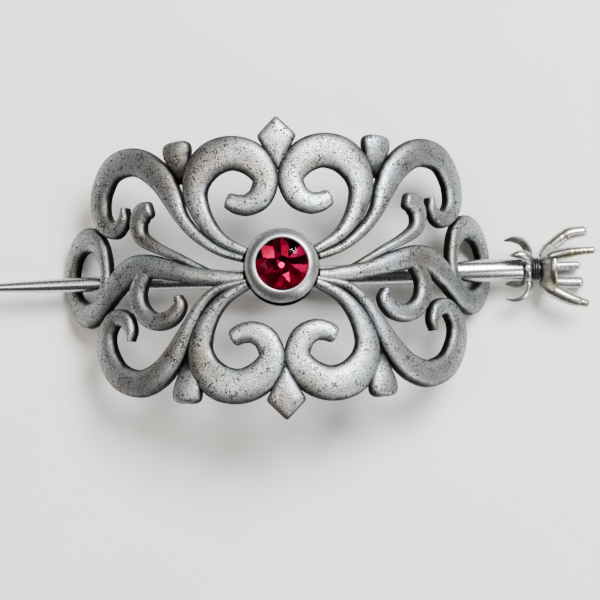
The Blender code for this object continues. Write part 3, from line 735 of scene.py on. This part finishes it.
def horn(stops, tangent, hollow=0.0, roll=0.0, steps=8, tip=1.0):
    # a tapered bar with round ends: each stop is x, y, z and a radius.
    # tangent points across the bar; hollow scoops the side that looks at the stick, roll turns it
    spec = hornSpec
    rows = smoothPath(stops, steps)
    places = [Vector(row[:3]) for row in rows]
    rootRadius, tipRadius = rows[0][3], rows[-1][3]
    rootWay = (places[0] - places[1]).normalized()
    tipWay = (places[-1] - places[-2]).normalized()
    spine = []
    for angle in spec["rootAngles"]:
        c, s = math.cos(math.radians(angle)), math.sin(math.radians(angle))
        spine.append((places[0] + rootWay * rootRadius * s * spec["rootRound"], rootRadius * c))
    spine += [(place, row[3]) for place, row in zip(places, rows)]
    for angle in spec["tipAngles"]:
        c, s = math.cos(math.radians(angle)), math.sin(math.radians(angle))
        spine.append((places[-1] + tipWay * tipRadius * s * tip, tipRadius * c))
    rings = []
    for i, (centre, radius) in enumerate(spine):
        near = spine[max(i - 1, 0)][0]
        far = spine[min(i + 1, len(spine) - 1)][0]
        along = (far - near).normalized()
        across = (tangent - along * along.dot(tangent)).normalized()
        outward = across.cross(along)
        if outward.dot(centre - Vector((centre.x - spec["lookBack"] * mm, 0, stickZ))) < 0:
            outward = -outward
        c, s = math.cos(roll), math.sin(roll)
        across, outward = across * c + outward * s, outward * c - across * s
        ring = []
        for k in range(spec["sides"]):
            turned = 2 * math.pi * k / spec["sides"]
            c, s = math.cos(turned), math.sin(turned)
            lift = s if s > 0 else s * (1 - hollow)
            ring.append(centre + across * radius * c + outward * radius * lift)
        rings.append(ring)
    return skin(rings)


def lookingOut(place, normal, darkest=0.0, brightFrom=math.inf):
    # painted light and shade: bright on the sides turned away from the stick's axis, painted shade
    # on those turned to it; past brightFrom (mm along the stick) a claw is bright all round
    out = Vector((0, place.y, place.z - stickZ))
    if out.length < hornSpec["core"] * mm:
        return 0.0
    brightShare = (hornSpec["brightShare"] + hornSpec["brightOut"] * normal.dot(out.normalized())
            - hornSpec["shadeAlong"] * abs(normal.x))
    brightShare += hornSpec["brightPerMm"] * max(0.0, place.x / mm - brightFrom)
    return clamp(brightShare, darkest)


cuffSpec = {
    "length": 1.3, "radius": 2.7, "hole": 1.3, "reach": 5.5, "back": 4.1,
    "steps": 72, "smoothAngle": 40, "darkest": 0.50,
    # the collar: distance in from its radius and distance along it
    "collar": ((0.35, 0), (0.1, 0.15), (0, 0.5), (0.05, 0.85), (0.35, 1.2), (0.6, 1.3)),
    # angle round the stick, size, how deep its inner side is scooped and how far that is turned
    "talons": ((8, 1.0, 1.0, 28), (62, 0.86, 0.5, 0), (188, 1.0, 1.0, 0), (242, 0.86, 0.8, 0)),
    # share of the length back, share of the reach out and thickness in mm
    "shape": ((0.0, 0.38, 0.75), (0.0, 0.60, 1.0), (0.22, 0.87, 1.05), (0.60, 0.985, 0.85),
              (0.95, 0.98, 0.34)),
}


def makeCuff():
    spec = cuffSpec
    left = cuffHigh.x / mm - spec["length"]
    collar = [(spec["hole"], 0)]
    collar += [(spec["radius"] - inset, along) for inset, along in spec["collar"]]
    collar += [(spec["hole"], spec["length"])]
    solids = [turn(collar, spec["steps"], "X", (left * mm, 0, stickZ))]
    root = left + 0.5 * spec["length"]
    for angle, share, hollow, roll in spec["talons"]:
        stops = []
        for back, out, thick in spec["shape"]:
            place = aroundStick(root - back * share * spec["back"], out * share * spec["reach"],
                                angle)
            stops.append((*place, thick * mm))
        tangent = aroundStick(0, 1, angle + 90) - aroundStick(0, 0, 0)
        solids.append(horn(stops, tangent, hollow, math.radians(roll)))
    cuff = join("talonCuff", solids, spec["smoothAngle"])
    cuff.data.materials.append(headSilver)
    # painted shade on the talons' sides turned to the stick
    markWearAndShade(cuff, lambda place, normal: lookingOut(place, normal, spec["darkest"]))
    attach(cuff, "stick")
    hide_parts("talon_cuff")


neckSpec = {"hole": 1.3, "ribs": 3, "ribDepth": 0.28, "ribTurn": 30, "steps": 72,
            "smoothAngle": 50}


def makeNeck():
    spec = neckSpec
    length = (neckHigh.x - neckLow.x) / mm
    radius = 0.5 * (neckHigh.z - neckLow.z) / mm
    valley = radius - spec["ribDepth"]
    profile = [(spec["hole"], length)]
    for k in range(spec["ribs"]):  # from the right-hand end, one round rib after another
        for angle in range(0, 181, spec["ribTurn"]):
            bulge = math.sin(math.radians(angle))
            run = (1 - math.cos(math.radians(angle))) / 2
            profile.append((valley + spec["ribDepth"] * bulge,
                            length * (1 - (k + run) / spec["ribs"])))
    profile.append((spec["hole"], 0))
    neck = newMeshObject("ribbedNeck", turn(profile, spec["steps"], "X", (neckLow.x, 0, stickZ)),
                         spec["smoothAngle"])
    neck.data.materials.append(blackSilver)
    markWearAndShade(neck, lambda place, normal: clamp(
        (math.hypot(place.y, place.z - stickZ) / mm - valley) / spec["ribDepth"]))
    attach(neck, "stick")
    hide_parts("ribbed_neck")


crownSpec = {
    "rim": 2.5, "radius": 4.7, "floor": 1.4, "hole": 1.3, "holeGap": 0.3, "steps": 96,
    "smoothAngle": 40, "darkest": 0.05, "brightPast": 0.2,
    # the cup's hollow: share of its radius and share of its depth, from the middle out
    "hollow": ((0, 0), (0.2, 0.03), (0.4, 0.12), (0.55, 0.3), (0.68, 0.52), (0.78, 0.76)),
    # its rim: distance in from the radius and drop from the rim
    "edge": ((0.72, 0.05), (0.6, 0), (0.3, 0), (0.1, 0.1), (0, 0.35)),
    # its outside: share of the radius and share of the height, from the rim down
    "outside": ((0.985, 0.75), (0.94, 0.58), (0.87, 0.44), (0.78, 0.3), (0.68, 0.17),
                (0.57, 0.06), (0.45, 0)),
    # where every claw runs up the cup: along the stick, out from it and share of its thickness
    "roots": ((0.5, 2.3, 0.75), (1.2, 3.4, 0.92), (2.2, 4.15, 1.0)),
    # angle round the stick, tip's distance from its axis, length from the crown's left face, how
    # early it turns, thickness at the root, the knuckle and the tip, and where rings are cut
    "claws": (
        (5, 6.7, 8.8, 0.80, (1.1, 1.2, 1.02), (0.68,)),
        (62, 5.4, 9.6, 0.75, (1.1, 0.92, 0.66), (0.74, 0.79, 0.84, 0.89)),
        (180, 6.8, 8.7, 0.62, (1.35, 1.2, 0.68), (0.9,)),
        (242, 5.0, 8.5, 0.75, (0.9, 1.05, 1.08), ()),
        (282, 4.6, 8.2, 0.75, (0.9, 0.86, 0.80), ())),
    "clawSteps": 14, "clawTip": 0.6, "ringDepth": 0.09, "ringWidth": 0.014,
}


def clawSolid(left, angle, reach, length, early, thick, rings):
    spec = crownSpec
    rootThick, knuckleThick, tipThick = thick
    end = length - 0.5 * tipThick
    bendX, bendReach, _ = spec["roots"][-1]
    line = [(x, out, rootThick * share) for x, out, share in spec["roots"]]
    line.append((0.5 * (bendX + end), bendReach + (reach - bendReach) * early, knuckleThick))
    line.append((end, reach, tipThick))
    rows = smoothPath(line, spec["clawSteps"])
    stops = []
    for k, (x, out, size) in enumerate(rows):
        for ring in rings:
            away = (k / len(rows) - ring) / spec["ringWidth"]
            size *= 1 - spec["ringDepth"] * math.exp(-away ** 2)
        stops.append((*aroundStick(left + x, out, angle), size * mm))
    tangent = aroundStick(0, 1, angle + 90) - aroundStick(0, 0, 0)
    return horn(stops, tangent, steps=1, tip=spec["clawTip"])


def makeCrown():
    spec = crownSpec
    left = crownLow.x / mm
    rim, radius, floor, hole = spec["rim"], spec["radius"], spec["floor"], spec["hole"]
    holeEnd = (stickHigh.x - crownLow.x) / mm + spec["holeGap"]
    bowl = rim - floor
    profile = [(share * radius, floor + depth * bowl) for share, depth in spec["hollow"]]
    profile += [(radius - inset, rim - drop) for inset, drop in spec["edge"]]
    profile += [(share * radius, height * rim) for share, height in spec["outside"]]
    profile += [(hole, 0), (hole, holeEnd), (0, holeEnd)]
    solids = [turn(profile, spec["steps"], "X", (left * mm, 0, stickZ))]
    solids += [clawSolid(left, *claw) for claw in spec["claws"]]
    crown = join("clawCrown", solids, spec["smoothAngle"])
    crown.data.materials.append(headSilver)
    # painted shade inside the cup and on the claws' inner sides, up to just past its rim
    markWearAndShade(crown, lambda place, normal: lookingOut(
        place, normal, spec["darkest"], left + rim + spec["brightPast"]))
    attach(crown, "stick")
    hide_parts("claw_crown")


makeCuff()
makeNeck()
makeCrown()
print("stick and head made")

floorSpec = {"halfSize": 1.5, "drop": 0.0001, "patch": 30.0}  # metres, and the card's mottle in mm
lightSpec = {
    "heart": 0.015,  # height that the lights are turned to
    "roomColor": "#B4BAC0", "roomStrength": 0.14,  # what lights the metal all round
    "wallColor": "#DCDAD6", "wallStrength": 0.75,  # what shows past the floor
    # place and size in metres, watts and colour
    "softboxes": {
        "keySoftbox": ((0.24, 0.28, 0.60), (0.34, 0.34), 19.0, "#FAFCFF"),
        "fillSoftbox": ((-0.26, 0.04, 0.64), (0.30, 0.30), 2.6, "#FFF2E4"),
        "rimStrip": ((0.36, -0.30, 0.30), (0.08, 0.30), 2.0, "#FFFFFF"),
    },
}
# degrees, and mm from the plate's crown; widthSeen is what fills the frame at that distance
viewSpec = {
    "distance": 400.0, "tilt": 7.0, "yaw": -1.5, "roll": 2.2, "widthSeen": 105.6,
    "aimAbove": 2.5, "aimRight": 3.2, "aimDown": 6.3, "sensor": 36.0, "nearest": 0.01,
}


def makeFloor():
    spec = floorSpec
    bm = bmesh.new()
    bmesh.ops.create_grid(bm, x_segments=1, y_segments=1, size=spec["halfSize"])
    bmesh.ops.translate(bm, verts=bm.verts, vec=(0, 0, -spec["drop"]))
    floor = newMeshObject("studioFloor", bm)
    material, tree, shader, place = newMaterial("paleCard", {"Roughness": 0.85})  # matt card
    grain = addNode(tree, "ShaderNodeTexNoise", {"Vector": place},
                    {"Scale": 1 / (spec["patch"] * mm), "Detail": 2.0})
    tint = addNode(tree, "ShaderNodeValToRGB", {"Fac": grain.outputs["Fac"]},
                   stops=[(0.3, linear("#CECCC8")), (0.7, linear("#D2D0CC"))])
    tree.links.new(tint.outputs["Color"], shader.inputs["Base Color"])
    floor.data.materials.append(material)


def makeStudio():
    spec = lightSpec
    world = bpy.data.worlds.new("studio")
    world.use_nodes = True
    tree = world.node_tree
    room = tree.nodes["Background"]
    room.inputs["Color"].default_value = linear(spec["roomColor"])
    room.inputs["Strength"].default_value = spec["roomStrength"]
    wall = addNode(tree, "ShaderNodeBackground", None,
                   {"Color": linear(spec["wallColor"]), "Strength": spec["wallStrength"]})
    seen = addNode(tree, "ShaderNodeLightPath").outputs["Is Camera Ray"]
    both = addNode(tree, "ShaderNodeMixShader", {0: seen, 1: room.outputs[0], 2: wall.outputs[0]})
    tree.links.new(both.outputs[0], tree.nodes["World Output"].inputs["Surface"])
    bpy.context.scene.world = world
    heart = Vector((middleX, 0, spec["heart"]))
    for name, (place, size, power, color) in spec["softboxes"].items():
        light = bpy.data.lights.new(name, "AREA")
        light.shape = "RECTANGLE"
        light.size, light.size_y = size
        light.energy = power
        light.color = linear(color)[:3]
        lamp = bpy.data.objects.new(name, light)
        bpy.context.scene.collection.objects.link(lamp)
        lamp.location = place
        lamp.rotation_euler = (heart - Vector(place)).to_track_quat("-Z", "Y").to_euler()


def makeCamera():
    # above the plate's crown, tipped a little towards the lower edge
    spec = viewSpec
    tilt, yaw, roll = (math.radians(spec[k]) for k in ("tilt", "yaw", "roll"))
    back = Vector((math.sin(yaw) * math.cos(tilt), -math.sin(tilt),
                   math.cos(yaw) * math.cos(tilt))).normalized()
    right = Vector((0, 1, 0)).cross(back).normalized()
    up = back.cross(right)
    right, up = (right * math.cos(roll) - up * math.sin(roll),
                 right * math.sin(roll) + up * math.cos(roll))
    target = Vector((middleX, 0, plateHigh.z + spec["aimAbove"] * mm))
    eye = target + back * spec["distance"] * mm
    aim = target + right * spec["aimRight"] * mm - up * spec["aimDown"] * mm
    look = (eye - aim).normalized()
    right = up.cross(look).normalized()
    up = look.cross(right)
    camera = bpy.data.objects.new("camera", bpy.data.cameras.new("camera"))
    camera.data.sensor_width = spec["sensor"]
    camera.data.lens = spec["sensor"] * spec["distance"] / spec["widthSeen"]
    camera.data.clip_start = spec["nearest"]
    camera.matrix_world = Matrix((
        (right.x, up.x, look.x, eye.x), (right.y, up.y, look.y, eye.y),
        (right.z, up.z, look.z, eye.z), (0, 0, 0, 1)))
    bpy.context.scene.collection.objects.link(camera)
    bpy.context.scene.camera = camera


makeFloor()
makeStudio()
makeCamera()
print("scene ready")
